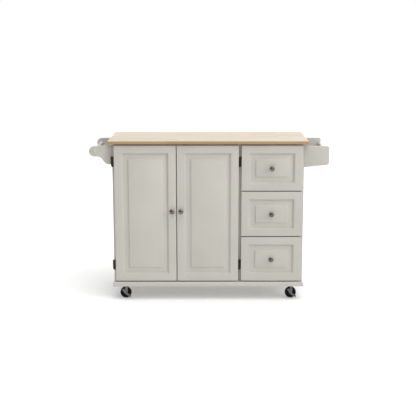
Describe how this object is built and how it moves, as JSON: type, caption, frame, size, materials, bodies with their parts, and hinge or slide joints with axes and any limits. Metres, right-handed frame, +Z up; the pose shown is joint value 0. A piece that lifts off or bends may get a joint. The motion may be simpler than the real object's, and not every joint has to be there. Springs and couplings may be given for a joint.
{
  "type": "kitchen island cart",
  "caption": "Rolling kitchen cabinet with a wooden worktop, hinged cupboard doors, sliding drawers, a side towel bar, a side spice rack and braked swivel casters.",
  "frame": {"origin": "on the floor, under the middle of the whole cart's bounding box", "axes": "+X to the right of someone facing the doors and along the cart's length, +Y to the back, +Z up; the doors and drawers face -Y"},
  "size_m": [1.3474, 0.4716, 0.92],
  "materials": {
    "grey_paint": "satin warm grey paint over wood board",
    "worktop_wood": "satin clear finish on pale hardwood staves",
    "drawer_wood": "plain pale ply",
    "zinc_steel": "zinc plated pressed steel",
    "polished_nickel": "polished nickel",
    "dark_bronze": "dark bronze",
    "black_wheel": "black moulded plastic",
    "runner_steel": "galvanised rolled steel",
    "catch_plastic": "off-white plastic"
  },
  "bodies": {
    "cart": {"worktop": "worktop_wood", "left_side_panel": "grey_paint", "right_side_panel": "grey_paint", "centre_divider": "grey_paint", "base_board": "grey_paint", "back_panel": "grey_paint", "top_rails": "grey_paint", "adjustable_shelf": "grey_paint", "shelf_pins": "zinc_steel", "magnetic_catches": "catch_plastic", "towel_bracket_front": "grey_paint", "towel_bracket_rear": "grey_paint", "towel_bar": "grey_paint", "rack_end_front": "grey_paint", "rack_end_rear": "grey_paint", "rack_shelf": "grey_paint", "rack_rail": "grey_paint", "cabinet_runners": "runner_steel", "hinge_frame_leaves": "dark_bronze", "hinge_pins": "dark_bronze", "caster_plates": "zinc_steel", "caster_screws": "zinc_steel"},
    "left_door": {"left_door_panel": "grey_paint", "left_door_knob": "polished_nickel", "left_door_hinge_leaves": "dark_bronze", "left_door_strike": "zinc_steel"},
    "right_door": {"right_door_panel": "grey_paint", "right_door_knob": "polished_nickel", "right_door_hinge_leaves": "dark_bronze", "right_door_strike": "zinc_steel"},
    "top_drawer": {"top_drawer_front": "grey_paint", "top_drawer_box": "drawer_wood", "top_drawer_bottom": "drawer_wood", "top_drawer_knob": "polished_nickel", "top_drawer_slides": "runner_steel"},
    "middle_drawer": {"middle_drawer_front": "grey_paint", "middle_drawer_box": "drawer_wood", "middle_drawer_bottom": "drawer_wood", "middle_drawer_knob": "polished_nickel", "middle_drawer_slides": "runner_steel"},
    "bottom_drawer": {"bottom_drawer_front": "grey_paint", "bottom_drawer_box": "drawer_wood", "bottom_drawer_bottom": "drawer_wood", "bottom_drawer_knob": "polished_nickel", "bottom_drawer_slides": "runner_steel"},
    "front_left_caster": {"front_left_caster_fork": "zinc_steel", "front_left_axle": "zinc_steel"},
    "front_left_wheel": {"front_left_wheel": "black_wheel"},
    "front_left_brake": {"front_left_brake_lever": "zinc_steel"},
    "front_right_caster": {"front_right_caster_fork": "zinc_steel", "front_right_axle": "zinc_steel"},
    "front_right_wheel": {"front_right_wheel": "black_wheel"},
    "front_right_brake": {"front_right_brake_lever": "zinc_steel"},
    "rear_left_caster": {"rear_left_caster_fork": "zinc_steel", "rear_left_axle": "zinc_steel"},
    "rear_left_wheel": {"rear_left_wheel": "black_wheel"},
    "rear_right_caster": {"rear_right_caster_fork": "zinc_steel", "rear_right_axle": "zinc_steel"},
    "rear_right_wheel": {"rear_right_wheel": "black_wheel"}
  },
  "joints": [
    {"name": "left_door_hinge", "type": "hinge", "parent": "cart", "child": "left_door", "pos_m": [-0.53975, -0.20725, 0.505], "axis": [0, 0, -1], "range_deg": [0, 105]},
    {"name": "right_door_hinge", "type": "hinge", "parent": "cart", "child": "right_door", "pos_m": [0.17225, -0.20725, 0.505], "axis": [0, 0, -1], "range_deg": [-105, 0]},
    {"name": "top_drawer_slide", "type": "slide", "parent": "cart", "child": "top_drawer", "axis": [0, -1, 0], "range_m": [0, 0.28]},
    {"name": "middle_drawer_slide", "type": "slide", "parent": "cart", "child": "middle_drawer", "axis": [0, -1, 0], "range_m": [0, 0.28]},
    {"name": "bottom_drawer_slide", "type": "slide", "parent": "cart", "child": "bottom_drawer", "axis": [0, -1, 0], "range_m": [0, 0.28]},
    {"name": "front_left_swivel", "type": "hinge", "parent": "cart", "child": "front_left_caster", "pos_m": [-0.46825, -0.15225, 0.075], "axis": [0, 0, 1], "continuous": true},
    {"name": "front_left_roll", "type": "hinge", "parent": "front_left_caster", "child": "front_left_wheel", "pos_m": [-0.48225, -0.15225, 0.032], "axis": [0, 1, 0], "continuous": true},
    {"name": "front_left_brake_pivot", "type": "hinge", "parent": "front_left_caster", "child": "front_left_brake", "pos_m": [-0.48225, -0.15225, 0.032], "axis": [0, -1, 0], "range_deg": [0, 25]},
    {"name": "front_right_swivel", "type": "hinge", "parent": "cart", "child": "front_right_caster", "pos_m": [0.48575, -0.15225, 0.075], "axis": [0, 0, 1], "continuous": true},
    {"name": "front_right_roll", "type": "hinge", "parent": "front_right_caster", "child": "front_right_wheel", "pos_m": [0.47175, -0.15225, 0.032], "axis": [0, 1, 0], "continuous": true},
    {"name": "front_right_brake_pivot", "type": "hinge", "parent": "front_right_caster", "child": "front_right_brake", "pos_m": [0.47175, -0.15225, 0.032], "axis": [0, -1, 0], "range_deg": [0, 25]},
    {"name": "rear_left_swivel", "type": "hinge", "parent": "cart", "child": "rear_left_caster", "pos_m": [-0.46825, 0.16375, 0.075], "axis": [0, 0, 1], "continuous": true},
    {"name": "rear_left_roll", "type": "hinge", "parent": "rear_left_caster", "child": "rear_left_wheel", "pos_m": [-0.48225, 0.16375, 0.032], "axis": [0, 1, 0], "continuous": true},
    {"name": "rear_right_swivel", "type": "hinge", "parent": "cart", "child": "rear_right_caster", "pos_m": [0.48575, 0.16375, 0.075], "axis": [0, 0, 1], "continuous": true},
    {"name": "rear_right_roll", "type": "hinge", "parent": "rear_right_caster", "child": "rear_right_wheel", "pos_m": [0.47175, 0.16375, 0.032], "axis": [0, 1, 0], "continuous": true}
  ]
}
